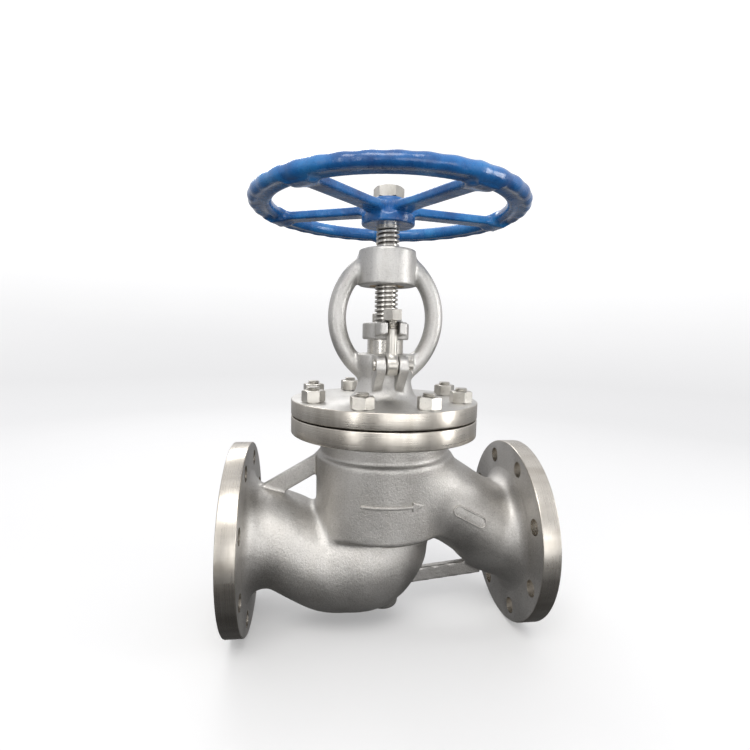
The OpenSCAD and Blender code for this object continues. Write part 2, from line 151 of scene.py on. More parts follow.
GLAND_TOP = span("gland_flange")[1][2]
GLAND_BOTTOM = 229.5
GLAND_RING_R = 26.6
GLAND_PAD_R = 10.8
GLAND_PAD_H = 1.2
GLAND_SLOT = 12.8
EAR_HALF_W = 14.5
EAR_REACH = 58.5
EAR_BOTTOM = 234.2
EAR_SLOPE = math.radians(15)
EYE_R = 11.0
EYE_HALF_W = 6.2
SHANK_R = 5.9
SHANK_TOP = 241.0
EYEBOLT_THREAD_R = 5.95
GLAND_NUT_AF = 19

THREAD_R = 13.2
THREAD_PITCH = 5.0
THREAD_BOTTOM = 244.0
THREAD_TOP = 353.0
STEM_R = 13.0
STEM_TOP = span("stem")[1][2]
STEM_SHOULDER_R = 12.9
STEM_END_R = 9.88
STEM_SQUARE_HALF = 9.98
HUB_SQUARE_HALF = 10.05
WHEEL_NUT_AF = 30


# --- mesh tools

def add_object(name, data):
    obj = bpy.data.objects.new(name, data)
    bpy.context.scene.collection.objects.link(obj)
    return obj


def mesh_object(name, points, faces):
    """An object from points in mm and faces of point numbers."""
    mesh = bpy.data.meshes.new(name)
    mesh.from_pydata((np.asarray(points, float) * MM).tolist(), [], [tuple(f) for f in faces])
    mesh.validate()
    return add_object(name, mesh)


def tidy_mesh(obj, merge=1e-6):
    """Merges doubled points, removes what that leaves loose or flat, closes holes, turns normals outward."""
    work = bmesh.new()
    work.from_mesh(obj.data)
    bmesh.ops.remove_doubles(work, verts=work.verts, dist=merge)
    bmesh.ops.dissolve_degenerate(work, edges=work.edges, dist=merge / 2)
    bmesh.ops.delete(work, geom=[v for v in work.verts if not v.link_faces], context="VERTS")
    open_edges = [e for e in work.edges if len(e.link_faces) == 1]
    if open_edges:
        bmesh.ops.holes_fill(work, edges=open_edges, sides=0)
    bmesh.ops.recalc_face_normals(work, faces=work.faces)
    work.to_mesh(obj.data)
    work.free()
    return obj


def arc_corner(before, corner, after, radius, steps=5):
    """Points of the arc that rounds a corner of an outline."""
    before, corner, after = (np.array(p, float) for p in (before, corner, after))
    u = (before - corner) / np.linalg.norm(before - corner)
    v = (after - corner) / np.linalg.norm(after - corner)
    half = math.acos(float(np.clip(u @ v, -1, 1))) / 2
    reach = radius / math.tan(half)
    middle = (u + v) / np.linalg.norm(u + v)
    centre = corner + middle * radius / math.sin(half)
    start, end = corner + u * reach - centre, corner + v * reach - centre
    total = math.acos(float(np.clip(start @ end / radius**2, -1, 1)))
    turns = [
        (math.sin((1 - s) * total) * start + math.sin(s * total) * end) / math.sin(total)
        for s in np.linspace(0, 1, steps)
    ]
    return [tuple(centre + t) for t in turns]


def outline(*corners):
    """A closed outline; a corner given as (a, b, radius) is rounded."""
    points = []
    for i, corner in enumerate(corners):
        if len(corner) == 2:
            points.append(tuple(corner))
        else:
            before, after = corners[i - 1][:2], corners[(i + 1) % len(corners)][:2]
            points += arc_corner(before, corner[:2], after, corner[2])
    return points


def lathe(name, profile, axis="Z", centre=STEM_AXIS, segments=144):
    """Turns a closed outline of (radius, place along the axis) about the axis through centre."""
    profile = np.array(profile, float)
    count = len(profile)
    angles = np.linspace(0, 2 * math.pi, segments, endpoint=False)
    r, along = profile[:, 0], profile[:, 1]
    rings = []
    for a in angles:
        c, s = r * math.cos(a), r * math.sin(a)
        parts = {"Z": (c, s, along), "X": (along, c, s), "Y": (s, along, c)}[axis]
        rings.append(np.stack(parts, axis=1))
    points = np.concatenate(rings) + np.array(centre, float)
    faces = []
    for i in range(segments):
        j = (i + 1) % segments
        for k in range(count):
            n = (k + 1) % count
            if max(r[k], r[n]) > 1e-9:
                faces.append((i * count + k, j * count + k, j * count + n, i * count + n))
    return tidy_mesh(mesh_object(name, points, faces))


def prism(name, corners, bottom, top):
    """An upright prism on (x, y) corners."""
    n = len(corners)
    faces = [tuple(range(n - 1, -1, -1)), tuple(range(n, 2 * n))]
    faces += [(i, (i + 1) % n, n + (i + 1) % n, n + i) for i in range(n)]
    return mesh_object(name, [(x, y, z) for z in (bottom, top) for x, y in corners], faces)


def hex_bar(name, across_flats, bottom, top, centre, turn_deg, bevel=1.6):
    """A hexagon nut's outside: a prism whose corners are cut back by a 30 degree cone at both ends."""
    corner_r = across_flats / math.sqrt(3)
    turns = [math.radians(turn_deg + 60 * i) for i in range(6)]
    corners = [(centre[0] + corner_r * math.cos(a), centre[1] + corner_r * math.sin(a)) for a in turns]
    flat_r = across_flats / 2 - 0.3
    cone = lathe(name + "_cone", outline(
        (0, bottom - 0.01), (flat_r, bottom - 0.01), (corner_r + 0.8, bottom + bevel),
        (corner_r + 0.8, top - bevel), (flat_r, top + 0.01), (0, top + 0.01),
    ), centre=(*centre, 0), segments=72)
    return combine(prism(name, corners, bottom, top), [cone], "INTERSECT")


def combine(base, others, operation):
    """Boolean of base with each of the others, which are used up; the exact solver is the fallback."""
    for other in others:
        for solver in ("MANIFOLD", "EXACT"):
            before = base.data
            modifier = base.modifiers.new("cut", "BOOLEAN")
            modifier.operation = operation
            modifier.solver = solver
            modifier.object = other
            graph = bpy.context.evaluated_depsgraph_get()
            result = bpy.data.meshes.new_from_object(base.evaluated_get(graph))
            base.modifiers.clear()
            changed = len(result.vertices) > 0 and (
                len(result.vertices) != len(before.vertices) or len(result.polygons) != len(before.polygons)
            )
            if changed:
                base.data = result
                break
            print("boolean", operation, base.name, other.name, solver, "left the mesh as it was")
        bpy.data.objects.remove(other)
    return base


def join(name, objects):
    """Several objects as one."""
    work = bmesh.new()
    for obj in objects:
        work.from_mesh(obj.data)
    mesh = bpy.data.meshes.new(name)
    work.to_mesh(mesh)
    work.free()
    for obj in objects:
        bpy.data.objects.remove(obj)
    return add_object(name, mesh)


def bar_outline(radius, start, end):
    """Outline of a plain round bar or hole, for lathe."""
    return [(0, start), (radius, start), (radius, end), (0, end)]


def square_bar(half, bottom, top):
    """A square bar on the stem axis."""
    signs = ((-1, -1), (1, -1), (1, 1), (-1, 1))
    return prism("square", [(AXIS_X + sx * half, sy * half) for sx, sy in signs], bottom, top)


def stud_places():
    """Centres of the bonnet studs about the stem axis."""
    turns = [math.radians(STUD_PHASE + 360 * i / STUD_COUNT) for i in range(STUD_COUNT)]
    return [(AXIS_X + STUD_CIRCLE_R * math.cos(a), STUD_CIRCLE_R * math.sin(a)) for a in turns]


def finish_mesh(obj, crease_deg=32):
    """Smooth shading with sharp edges where faces meet at more than crease_deg."""
    tidy_mesh(obj, 2e-6)
    mesh = obj.data
    mesh.shade_smooth()
    mesh.set_sharp_from_angle(angle=math.radians(crease_deg))
    return obj


# --- smooth solids from distance fields

def smooth_min(a, b, k):
    """Union of two fields with a fillet of about k."""
    h = np.clip(0.5 + 0.5 * (b - a) / k, 0, 1)
    return b * (1 - h) + a * h - k * h * (1 - h)


def smooth_max(a, b, k):
    """Intersection of two fields with an edge rounded by about k."""
    return -smooth_min(-a, -b, k)


def smooth_run(stations, links=5):
    """More stations along a run, on a Catmull-Rom curve through the given ones."""
    s = np.array(stations, float)
    padded = np.vstack([2 * s[0] - s[1], s, 2 * s[-1] - s[-2]])
    out = []
    for i in range(len(s) - 1):
        p0, p1, p2, p3 = padded[i:i + 4]
        for t in np.arange(links) / links:
            out.append(0.5 * (
                2 * p1 + (p2 - p0) * t + (2 * p0 - 5 * p1 + 4 * p2 - p3) * t**2
                + (3 * p1 - p0 - 3 * p2 + p3) * t**3
            ))
    out.append(s[-1])
    return out


def duct_field(x, y, z, stations):
    """Distance to a duct in the middle plane. A station is centre x, centre z, half height and side shift."""
    side = np.abs(y)
    best = None
    for a, b in zip(stations, stations[1:]):
        dx, dz = b[0] - a[0], b[1] - a[1]
        t = np.clip(((x - a[0]) * dx + (z - a[1]) * dz) / (dx * dx + dz * dz), 0, 1)
        off = np.maximum(side - (a[3] + (b[3] - a[3]) * t), 0)
        d = np.sqrt((x - a[0] - dx * t) ** 2 + (z - a[1] - dz * t) ** 2 + off**2) - (a[2] + (b[2] - a[2]) * t)
        best = d if best is None else np.minimum(best, d)
    return best


def bar_field(x, y, z, start, end, half_w, half_t, rounding):
    """Distance to a flat bar in the middle plane, from start to end (x, z)."""
    dx, dz = end[0] - start[0], end[1] - start[1]
    length = math.hypot(dx, dz)
    dx, dz = dx / length, dz / length
    along = (x - start[0]) * dx + (z - start[1]) * dz
    across = -(x - start[0]) * dz + (z - start[1]) * dx
    qx = np.abs(along - length / 2) - (length / 2 - rounding)
    qy = np.abs(across) - (half_w - rounding)
    qz = np.abs(y) - (half_t - rounding)
    outside = np.sqrt(np.maximum(qx, 0) ** 2 + np.maximum(qy, 0) ** 2 + np.maximum(qz, 0) ** 2)
    return outside + np.minimum(np.maximum(qx, np.maximum(qy, qz)), 0) - rounding


def surface_net(name, field, low, high, cell, block=12):
    """A closed mesh of the zero level of field(x, y, z), with its points moved onto the true surface."""
    low = np.array(low, float)
    cells = np.ceil((np.array(high, float) - low) / cell / block).astype(int) * block
    count = cells + 1
    axes = [low[k] + cell * np.arange(count[k]) for k in range(3)]
    values = np.empty(count, np.float32)
    half = cell * block / 2
    reach = 1.5 * half * math.sqrt(3) + cell
    for i in range(0, cells[0], block):
        for j in range(0, cells[1], block):
            zs = axes[2][0:-1:block] + half
            near = field(np.full(len(zs), axes[0][i] + half), np.full(len(zs), axes[1][j] + half), zs)
            for k, d in zip(range(0, cells[2], block), near):
                part = (slice(i, i + block + 1), slice(j, j + block + 1), slice(k, k + block + 1))
                if abs(d) > reach:
                    values[part] = d
                else:
                    grid = np.meshgrid(axes[0][part[0]], axes[1][part[1]], axes[2][part[2]], indexing="ij")
                    values[part] = field(*grid)
    inside = values < 0
    strides = np.array([count[1] * count[2], count[2], 1])
    quads, crossings = [], []
    for k in range(3):
        a, b = (k + 1) % 3, (k + 2) % 3
        lower = [slice(1, -1)] * 3
        lower[k] = slice(0, -1)
        upper = list(lower)
        upper[k] = slice(1, None)
        first, second = inside[tuple(lower)], inside[tuple(upper)]
        at = np.argwhere(first != second)
        at += [0 if axis == k else 1 for axis in range(3)]
        f0 = values[tuple(at.T)]
        step = np.eye(3, dtype=int)[k]
        f1 = values[tuple((at + step).T)]
        crossing = at + step * (f0 / (f0 - f1))[:, None]
        ids = at @ strides
        quad = np.stack([ids, ids - strides[a], ids - strides[a] - strides[b], ids - strides[b]], axis=1)
        quad[f0 > 0] = quad[f0 > 0][:, ::-1]
        quads.append(quad)
        crossings.append(np.repeat(crossing, 4, axis=0))
    quads = np.concatenate(quads)
    crossings = np.concatenate(crossings)
    ids, where = np.unique(quads.ravel(), return_inverse=True)
    where = where.reshape(-1)
    number = np.bincount(where)
    points = np.stack([np.bincount(where, crossings[:, k]) / number for k in range(3)], axis=1)
    points = low + cell * points
    h = 0.05
    for _ in range(4):
        d = field(*points.T)
        slope = np.stack([
            (field(*(points + h * e).T) - field(*(points - h * e).T)) / (2 * h)
            for e in np.eye(3)
        ], axis=1)
        move = slope * (d / np.maximum((slope**2).sum(1), 0.05))[:, None]
        length = np.linalg.norm(move, axis=1, keepdims=True)
        points -= move * np.minimum(1, 0.6 * cell / np.maximum(length, 1e-9))
    return tidy_mesh(mesh_object(name, points, where.reshape(-1, 4)), 1e-8)


# --- body casting

INLET_RUN = smooth_run([
    (4, 0, 57.5, 0), (30, 0, 57.2, 0.5), (56, -5.5, 53, 5.5), (71, -12, 51.5, 8), (92, -22.5, 52.5, 9.5),
    (114, -30, 56.5, 8), (134, -28, 61.5, 5), (152, -24, 65.5, 2.5), (163, -18.5, 62.8, 1), (171, -13, 59.5, 0),
])
OUTLET_RUN = smooth_run([
    (212, 67, 45.5, 11), (250, 42.5, 45.5, 11.5), (277, 25, 45.5, 11.5), (294, 14, 47.5, 9.5),
    (306, 6.5, 51.5, 5.5), (322, 1, 56.5, 1), (346, 0, 57.5, 0),
])
INLET_BORE = smooth_run([
    (-20, 0, 49.4, 0), (30, 0, 49.4, 0), (46, -5, 44.5, 3.5), (60, -13, 39.5, 7), (76, -22.5, 38, 9),
    (100, -35, 38, 9), (120, -42, 39, 9),
])
OUTLET_BORE = smooth_run([
    (226, 58, 37, 9), (262, 35, 37, 9), (290, 17, 37.5, 9), (302, 8.5, 41, 6.5), (314, 2, 46.5, 2.5),
    (326, 0, 49.4, 0), (370, 0, 49.4, 0),
])
BOWL_CENTRE = (152, -24)
BOWL_BORE_R = 59.0
DRAIN_X = 178.0
DRAIN_R = 19.0
DRAIN_BOTTOM = -91.5
ROOT_FILLET = 26.0


def flange_slab(x, y, z, middle):
    """The part of an end flange that the neck's fillet runs into."""
    return np.maximum(np.abs(x - middle) - 9, np.hypot(y, z) - 96)


def chamber_field(x, y, z):
    """The round chamber and the neck under the body flange."""
    r = np.hypot(x - AXIS_X, y)
    barrel = smooth_max(r - CHAMBER_R, CHAMBER_BOTTOM - z, 4)
    barrel = smooth_max(barrel, z - CHAMBER_SHOULDER, 7)
    neck = np.maximum(np.maximum(r - CHAMBER_NECK_R, z - BODY_FLANGE_BOTTOM - 4), 60 - z)
    return smooth_min(barrel, neck, 3)


def casting_outside(x, y, z):
    """The casting's outer skin: chamber, ducts, drain boss and two ribs."""
    inlet = smooth_min(duct_field(x, y, z, INLET_RUN), flange_slab(x, y, z, 12), ROOT_FILLET)
    outlet = smooth_min(
        duct_field(x, y, z, OUTLET_RUN), flange_slab(x, y, z, FACE_TO_FACE - 12), ROOT_FILLET
    )
    solid = smooth_min(chamber_field(x, y, z), inlet, 12)
    solid = smooth_min(solid, outlet, 16)
    drain = smooth_max(np.hypot(x - DRAIN_X, y) - DRAIN_R, DRAIN_BOTTOM - z, 5)
    drain = np.maximum(drain, z + 40)
    solid = smooth_min(solid, drain, 6)
    solid = smooth_min(solid, bar_field(x, y, z, (26, 43), (106, 90), 9.8, 4.5, 1.5), 4)
    solid = smooth_min(solid, bar_field(x, y, z, (203, -58.8), (300, -48.2), 8.8, 4.5, 1.5), 4)
    return np.maximum(solid, np.maximum(5 - x, x - FACE_TO_FACE + 5))


def casting_inside(x, y, z):
    """The flow passage: bowl under the seat, chamber over it."""
    r = np.hypot(x - AXIS_X, y)
    chamber = np.maximum(r - 61 - 6.4 * np.clip((z - 11) / 29, 0, 1), 11 - z)
    bowl = np.sqrt((x - BOWL_CENTRE[0]) ** 2 + y**2 + (z - BOWL_CENTRE[1]) ** 2) - BOWL_BORE_R
    under = smooth_min(duct_field(x, y, z, INLET_BORE), smooth_max(bowl, z + 4, 4), 8)
    seat = np.maximum(r - BORE_R - 0.6, np.abs(z + 4) - 24)
    above = smooth_min(chamber, duct_field(x, y, z, OUTLET_BORE), 6)
    return np.minimum(np.minimum(under, seat), above)


def casting_field(x, y, z):
    """The body casting, before it is machined."""
    return smooth_max(casting_outside(x, y, z), -casting_inside(x, y, z), 2.5)


def arrow_field(x, y, z):
    """Raised flow arrow that follows the round front of the chamber."""
    along = CHAMBER_R * np.arctan2(x - AXIS_X, -y)
    up = z - 57
    shaft = np.hypot(np.maximum(np.abs(along + 4) - 28, 0), up) - 1.5
    head = np.maximum(22 - along, ((along - 36) * 5.2 + np.abs(up) * 14) / 15)
    flat = smooth_min(shaft, head, 0.8)
    return smooth_max(flat, np.abs(np.hypot(x - AXIS_X, y) - CHAMBER_R) - 1.8, 0.8)


def pad_field(x, y, z):
    """Blank oval pad with a raised rim on the front of the outlet neck."""
    slope = math.radians(28)
    along = (x - 266) * math.cos(slope) - (z - 37.5) * math.sin(slope)
    up = (x - 266) * math.sin(slope) + (z - 37.5) * math.cos(slope)
    oval = np.hypot(np.maximum(np.abs(along) - 14.5, 0), up)
    skin = duct_field(x, y, z, OUTLET_RUN)
    pad = smooth_max(oval - 6.6, np.abs(skin) - 2.1, 0.8)
    floor = np.maximum(oval - 5.0, 0.7 - skin)
    return smooth_max(pad, -floor, 0.6)


def end_flange(name, outlet):
    """Machined end flange with its raised face."""
    ring = outline(
        (46, 0), (RAISED_FACE_R, 0, 0.5), (RAISED_FACE_R, RAISED_FACE_H), (END_FLANGE_R, RAISED_FACE_H, 1),
        (END_FLANGE_R, END_FLANGE_T, 1), (46, END_FLANGE_T),
    )
    if outlet:
        ring = [(r, FACE_TO_FACE - x) for r, x in ring]
    return lathe(name, ring, "X", (0, 0, 0), 192)


def body_cutters():
    """Bores, bolt holes, stud holes and the seat's recess."""
    cutters = [
        lathe("cut", bar_outline(BORE_R, -1, BORE_DEPTH), "X", (0, 0, 0)),
        lathe("cut", bar_outline(BORE_R, FACE_TO_FACE - BORE_DEPTH, FACE_TO_FACE + 1), "X", (0, 0, 0)),
        lathe("cut", [
            (0, -30), (SEAT_THROAT_R, -30), (SEAT_THROAT_R, SEAT_RECESS_BOTTOM),
            (SEAT_RECESS_R, SEAT_RECESS_BOTTOM), (SEAT_RECESS_R, 26), (0, 26),
        ]),
        lathe("cut", bar_outline(CHAMBER_BORE_R, 41, BODY_TOP + 1)),
    ]
    hole = bar_outline(BOLT_HOLE_R, -1, END_FLANGE_T + 2)
    for i in range(8):
        a = math.radians(22.5 + 45 * i)
        centre = (0, BOLT_CIRCLE_R * math.cos(a), BOLT_CIRCLE_R * math.sin(a))
        cutters.append(lathe("cut", hole, "X", centre, 40))
        far = (FACE_TO_FACE - END_FLANGE_T - 1, centre[1], centre[2])
        cutters.append(lathe("cut", hole, "X", far, 40))
    stud = bar_outline(STUD_R + 0.1, STUDS_LOW[2], BODY_TOP + 1)
    for x, y in stud_places():
        cutters.append(lathe("cut", stud, "Z", (x, y, 0), 32))
    return cutters


def build_body():
    casting = surface_net("body_casting", casting_field, (0, -110, -110), (350, 110, 132), 2.0)
    arrow = surface_net("arrow", arrow_field, (136, -82, 48), (216, -66, 66), 0.6)
    pad = surface_net("pad", pad_field, (238.13, -66.2, 14.3), (296, -44, 62), 0.6)
    top_flange = lathe("top_flange", outline(
        (62, 117), (CHAMBER_NECK_R - 0.4, 117), (CHAMBER_NECK_R - 0.4, BODY_FLANGE_BOTTOM, 3.5),
        (BONNET_FLANGE_R, BODY_FLANGE_BOTTOM, 1), (BONNET_FLANGE_R, BODY_TOP, 1), (62, BODY_TOP),
    ), segments=192)
    ends = [end_flange("inlet_end", False), end_flange("outlet_end", True)]
    combine(casting, [arrow, pad, *ends, top_flange], "UNION")
    combine(casting, [join("body_cutters", body_cutters())], "DIFFERENCE")
    return finish_mesh(casting)


# --- bonnet with its yoke

NECK_PROFILE = np.array(smooth_run([
    (150, 60), (161, 45), (164, 38.5), (171, 33.6), (183, 30.6), (190, 30.8), (202, 33.8), (214, 34), (222, 34),
]))


def bonnet_field(x, y, z):
    """Neck, two yoke arches, screw boss and fork cheeks."""
    side, deep = np.abs(x - AXIS_X), np.abs(y)
    r = np.hypot(side, deep)
    neck = (r - np.interp(z, NECK_PROFILE[:, 0], NECK_PROFILE[:, 1])) * 0.85
    neck = np.maximum(smooth_max(neck, z - NECK_TOP, 2), 155 - z)
    arm = np.hypot(np.hypot(side + ARM_CENTRE_OFFSET, z - ARM_CENTRE_Z) - ARM_BEND_R, y) - ARM_R
    arm = np.maximum(arm, 12 - side)
    boss = smooth_max(smooth_max(r - BOSS_R, z - BOSS_TOP, 2.5), BOSS_BOTTOM - z, 2.5)
    cheek = np.abs(side - (FORK_GAP + FORK_T) / 2) - FORK_T / 2
    edge = smooth_max(deep - 59, z - NECK_TOP, 14)
    edge = smooth_max(edge, ((deep - 59) * 18.5 - (z - 197) * 22) / 28.7, 2.5)
    cheek = smooth_max(np.maximum(edge, 24 - deep), cheek, 1.5)
    solid = smooth_min(neck, arm, 5)
    solid = smooth_min(solid, boss, 4.5)
    return smooth_min(solid, cheek, 2)


def build_bonnet():
    yoke = surface_net("bonnet_casting", bonnet_field, (94, -64, 152), (256, 64, 333), 1.5)
    flange = lathe("flange", outline(
        (0, 130), (CHAMBER_BORE_R - 0.6, 130, 0.8), (CHAMBER_BORE_R - 0.6, BONNET_BOTTOM),
        (BONNET_FLANGE_R, BONNET_BOTTOM, 1), (BONNET_FLANGE_R, BONNET_TOP, 1), (0, BONNET_TOP),
    ), segments=192)
    combine(yoke, [flange], "UNION")
    cutters = [
        lathe("cut", [
            (0, 129), (46, 129), (40, 137), (20, 137), (20, 152), (14.5, 152), (14.5, 160),
            (STUFFING_BOX_R, 160), (STUFFING_BOX_R, NECK_TOP + 1), (0, NECK_TOP + 1),
        ]),
        lathe("cut", bar_outline(BOSS_BORE_R, BOSS_BOTTOM - 1, BOSS_TOP + 1)),
        lathe("cut", bar_outline(4, 17, 48), "Y", (AXIS_X, 0, (BOSS_BOTTOM + BOSS_TOP) / 2), 24),
    ]
    for side in (-1, 1):
        pin_place = (AXIS_X, side * PIN_Y, PIN_Z)
        cutters.append(lathe("cut", bar_outline(PIN_R, -30, 30), "X", pin_place, 32))
    hole = bar_outline(STUD_R + 1, BONNET_BOTTOM - 1, BONNET_TOP + 1)
    for x, y in stud_places():
        cutters.append(lathe("cut", hole, "Z", (x, y, 0), 32))
    combine(yoke, [join("bonnet_cutters", cutters)], "DIFFERENCE")
    return finish_mesh(yoke)


# --- handwheel

def wheel_field(x, y, z):
    """Grooved and finger-dented rim, spokes and stepped hub."""
    px, r = x - AXIS_X, np.hypot(x - AXIS_X, y)
    turn = np.arctan2(y, px)
    middle = WHEEL_R - RIM_WIDTH / 2
    q = r - middle
    flat = np.maximum(np.abs(q) - RIM_WIDTH / 2 + RIM_HALF_H, 0)
    rim = np.hypot(flat, z - RIM_Z) - RIM_HALF_H
    dents = 0.5 - 0.5 * np.cos(SCALLOPS * turn + 0.8 * np.sin(3 * turn))
    rim = rim + 0.65 * dents * np.clip((q + 5) / 12, 0, 1)
    groove = np.hypot(q * 0.45, z - RIM_Z + RIM_HALF_H + 1.2) - 3
    rim = smooth_max(rim, -groove, 1.5)
    share = 2 * math.pi / SPOKE_COUNT
    fold = np.mod(turn - SPOKE_PHASE + share / 2, share) - share / 2
    u, v = r * np.cos(fold), r * np.sin(fold)
    width = SPOKE_W / 2 + 1.2 * np.exp(-(((u - 30) / 14) ** 2))
    height = np.abs(z - SPOKE_BOTTOM - SPOKE_T / 2) - SPOKE_T / 2
    across = smooth_max(np.abs(v) - width, height, 3)
    spoke = np.maximum(across, np.maximum(8 - u, u - middle))
    plate = smooth_max(r - 30, np.abs(z - HUB_BOTTOM - 4.5) - 4.5, 2.5)
    cone = (r - np.interp(z, [362, 371, HUB_TOP], [27, 21, 18.6])) * 0.85
    cone = np.maximum(smooth_max(cone, z - HUB_TOP, 1.8), 359 - z)
    hub = smooth_min(plate, cone, 3)
    return smooth_min(smooth_min(rim, spoke, 11), hub, 6)


def build_wheel():
    reach = WHEEL_R + 3
    low, high = (AXIS_X - reach, -reach, 352.63), (AXIS_X + reach, reach, 388)
    wheel = surface_net("handwheel_casting", wheel_field, low, high, 1.5)
    combine(wheel, [square_bar(HUB_SQUARE_HALF, 350, 390)], "DIFFERENCE")
    return finish_mesh(wheel)


# --- threads, nuts, studs and the stem

def threaded_rod(name, r_out, depth, pitch, bottom, top, centre, section, segments=32, chamfer=1.0):
    """A rod with a helical thread. section gives phases over one pitch and heights, 1 at the crest."""
    phases, heights = section
    rows = len(phases)
    turns = int(math.ceil((top - bottom) / pitch)) + 3
    start = bottom - 2 * pitch
    points = []
    for k in range(rows * turns + 1):
        whole, part = divmod(k, rows)
        r = r_out - depth * (1 - heights[part])
        for j in range(segments):
            a = 2 * math.pi * j / segments
            z = start + pitch * (whole + phases[part] + j / segments)
            points.append((centre[0] + r * math.cos(a), centre[1] + r * math.sin(a), z))
    last = rows * turns
    faces = []
    for k in range(last):
        for j in range(segments - 1):
            here, above = k * segments + j, (k + 1) * segments + j
            faces.append((here, here + 1, above + 1, above))
        if k + rows + 1 <= last:
            faces.append((k * segments + segments - 1, (k + rows) * segments,
                          (k + rows + 1) * segments, (k + 1) * segments + segments - 1))
    floor = list(range(segments)) + [k * segments for k in range(rows, 0, -1)]
    roof = [last * segments + j for j in range(segments)]
    roof += [k * segments + segments - 1 for k in range(last - 1, last - rows - 1, -1)]
    faces += [tuple(reversed(floor)), tuple(roof)]
    rod = mesh_object(name, points, faces)
    trim = lathe("trim", outline(
        (0, bottom), (r_out - chamfer, bottom), (r_out + 0.3, bottom + chamfer),
        (r_out + 0.3, top - chamfer), (r_out - chamfer, top), (0, top),
    ), centre=(*centre, 0), segments=64)
    return combine(rod, [trim], "INTERSECT")


VEE = ((0, 0.14, 0.5, 0.64), (1, 1, 0, 0))
TRAPEZOID = ((0, 0.14, 0.28, 0.42, 0.49, 0.56, 0.71, 0.86, 0.93), (1, 1, 1, 1, 0.5, 0, 0, 0, 0.5))


def nut(name, across_flats, bottom, top, centre, turn_deg, bore_r):
    """A hexagon nut with chamfered corners and a countersunk bore."""
    body = hex_bar(name, across_flats, bottom, top, centre, turn_deg)
    bore = lathe("bore", [
        (0, bottom - 1), (bore_r + 1.6, bottom - 1), (bore_r + 1.2, bottom), (bore_r + 0.05, bottom + 1.2),
        (bore_r + 0.05, top - 1.2), (bore_r + 1.2, top), (bore_r + 1.6, top + 1), (0, top + 1),
    ], centre=(*centre, 0), segments=48)
    return combine(body, [bore], "DIFFERENCE")


def build_bonnet_nuts():
    turns = (33, 22, 47, 10, 38, 31, 37, 55)
    nuts = []
    for i, centre in enumerate(stud_places()):
        turn = turns[i] + STUD_PHASE + 45 * i
        nuts.append(nut(f"nut_{i}", STUD_NUT_AF, BONNET_TOP, NUTS_HIGH[2], centre, turn, STUD_R))
    return finish_mesh(join("bonnet_nut_set", nuts))


def build_studs():
    rods = []
    for i, centre in enumerate(stud_places()):
        rods.append(threaded_rod(f"stud_{i}", STUD_R, 1.1, 2.0, STUDS_LOW[2], STUDS_HIGH[2], centre, VEE, 28))
    return finish_mesh(join("bonnet_stud_set", rods))


def build_stem():
    centre = (AXIS_X, 0)
    thread = threaded_rod(
        "stem_turned", THREAD_R, 2.5, THREAD_PITCH, THREAD_BOTTOM, THREAD_TOP, centre, TRAPEZOID, 80, chamfer=2.2
    )
    lower = lathe("lower", outline(
        (0, 27), (17, 27, 0.6), (17, 33, 0.6), (STEM_R, 33), (STEM_R, 96), (18, 96, 0.5), (18, 102, 0.5),
        (STEM_R, 107), (STEM_R, THREAD_BOTTOM + 0.5, 0.8), (0, THREAD_BOTTOM + 0.5),
    ), segments=96)
    upper = lathe("upper", outline(
        (0, THREAD_TOP - 3), (10.7, THREAD_TOP - 3), (STEM_SHOULDER_R, THREAD_TOP - 0.8),
        (STEM_SHOULDER_R, HUB_BOTTOM), (0, HUB_BOTTOM),
    ), segments=96)
    end = threaded_rod("end", STEM_END_R, 1.3, 2.5, HUB_TOP - 3, STEM_TOP, centre, VEE, 48)
    square = square_bar(STEM_SQUARE_HALF, HUB_BOTTOM - 2, HUB_TOP)
    round_bar = lathe("round", bar_outline(STEM_SHOULDER_R, 350, 390), segments=96)
    combine(square, [round_bar], "INTERSECT")
    combine(thread, [lower, upper, square, end], "UNION")
    return finish_mesh(thread)


def build_wheel_nut():
    return finish_mesh(
        nut("handwheel_nut_turned", WHEEL_NUT_AF, HUB_TOP, WHEEL_NUT_HIGH[2], (AXIS_X, 0), 46, 9.9)
    )


# --- gland, eyebolts, pins

def gland_field(x, y, z):
    """Ring with two slotted ears, whose ends slope away under the nuts."""
    side, deep = np.abs(x - AXIS_X), np.abs(y)
    top = GLAND_TOP - GLAND_PAD_H
    height = np.abs(z - (GLAND_BOTTOM + top) / 2) - (top - GLAND_BOTTOM) / 2
    ring = smooth_max(np.hypot(side, deep) - GLAND_RING_R, height, 2.5)
    ear = smooth_max(side - EAR_HALF_W, deep - EAR_REACH, 4)
    ear = smooth_max(ear, np.maximum(z - top, EAR_BOTTOM - z), 2)
    arch = np.hypot(side * 0.42, z - 232) - 4.6
    ear = smooth_max(ear, -arch, 2)
    pad = np.maximum(np.hypot(side, deep - PIN_Y) - GLAND_PAD_R, np.maximum(z - GLAND_TOP, 236 - z))
    solid = smooth_min(smooth_min(ring, ear, 3), pad, 0.8)
    relief = (z - GLAND_TOP) * math.cos(EAR_SLOPE) + (deep - PIN_Y) * math.sin(EAR_SLOPE)
    solid = np.maximum(solid, np.minimum(relief, 8))
    solid = np.maximum(solid, z - GLAND_TOP)
    slot = np.hypot(side, np.minimum(deep - PIN_Y, 0)) - GLAND_SLOT / 2
    return smooth_max(solid, -slot, 0.8)


def build_gland_flange():
    flange = surface_net("gland_flange_casting", gland_field, (143, -64, 226), (207, 64, 252), 0.8)
    bore = lathe("bore", [(0, 220), (20.7, 220), (20.7, 237), (13.6, 237), (13.6, 260), (0, 260)])
    combine(flange, [bore], "DIFFERENCE")
    return finish_mesh(flange)


